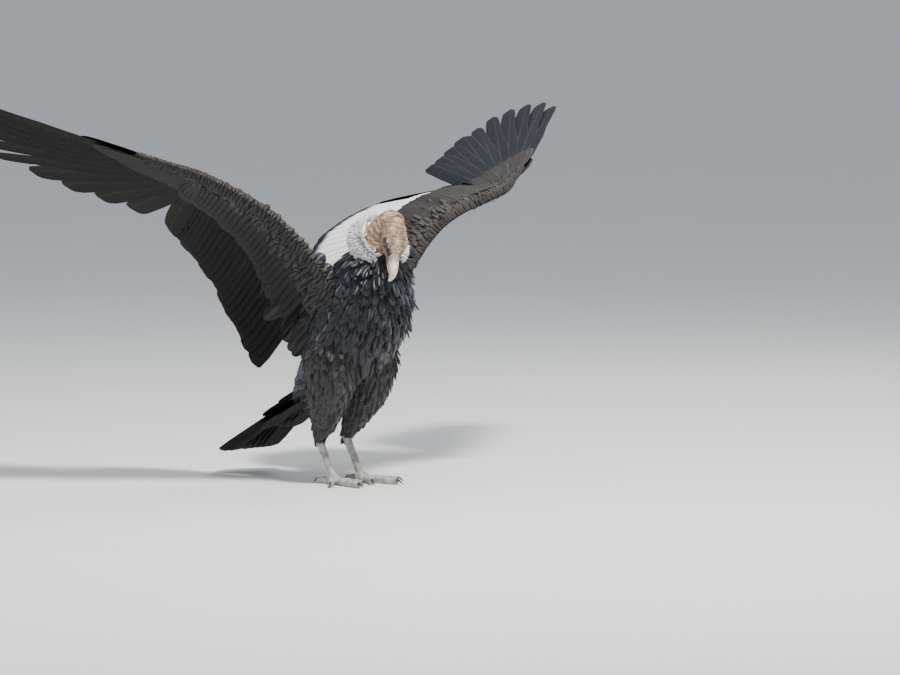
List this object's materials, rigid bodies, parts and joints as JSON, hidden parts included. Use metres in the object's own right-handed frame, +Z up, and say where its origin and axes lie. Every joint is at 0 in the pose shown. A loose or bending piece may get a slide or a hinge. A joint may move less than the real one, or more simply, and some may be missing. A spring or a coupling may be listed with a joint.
{
  "type": "andean condor, still life-size model",
  "caption": "Still life-size model of a standing adult Andean condor, both wings raised and swept back, head bent down and turned to its right.",
  "frame": {"origin": "middle of the model's box, on the floor", "axes": "+Z up, the bird faces -Y, its left side is +X; +X runs along the wings"},
  "size_m": [2.0272, 0.9834, 1.0457],
  "materials": {
    "black_feathers": "glossy black feathers with a faint blue sheen",
    "white_down": "matt white down",
    "bare_skin": "matt wrinkled skin",
    "bill_horn": "satin ivory horn",
    "eye": "wet gloss",
    "shank_skin": "matt scaly skin",
    "claw_horn": "satin dark horn"
  },
  "bodies": {
    "root": {"bill_lower": "bill_horn", "bill_upper": "bill_horn", "claw_left_hind": "claw_horn", "claw_left_inner": "claw_horn", "claw_left_middle": "claw_horn", "claw_left_outer": "claw_horn", "claw_right_hind": "claw_horn", "claw_right_inner": "claw_horn", "claw_right_middle": "claw_horn", "claw_right_outer": "claw_horn", "eye_left": "eye", "eye_right": "eye", "foot_left": "shank_skin", "foot_right": "shank_skin", "head": "bare_skin", "neck": "bare_skin", "ruff": "white_down", "shank_left": "shank_skin", "shank_right": "shank_skin", "tail": "black_feathers", "thigh_left": "black_feathers", "thigh_right": "black_feathers", "torso": "black_feathers", "wing_left_arm": "black_feathers", "wing_left_hand": "black_feathers", "wing_right_arm": "black_feathers", "wing_right_hand": "black_feathers"}
  },
  "joints": []
}
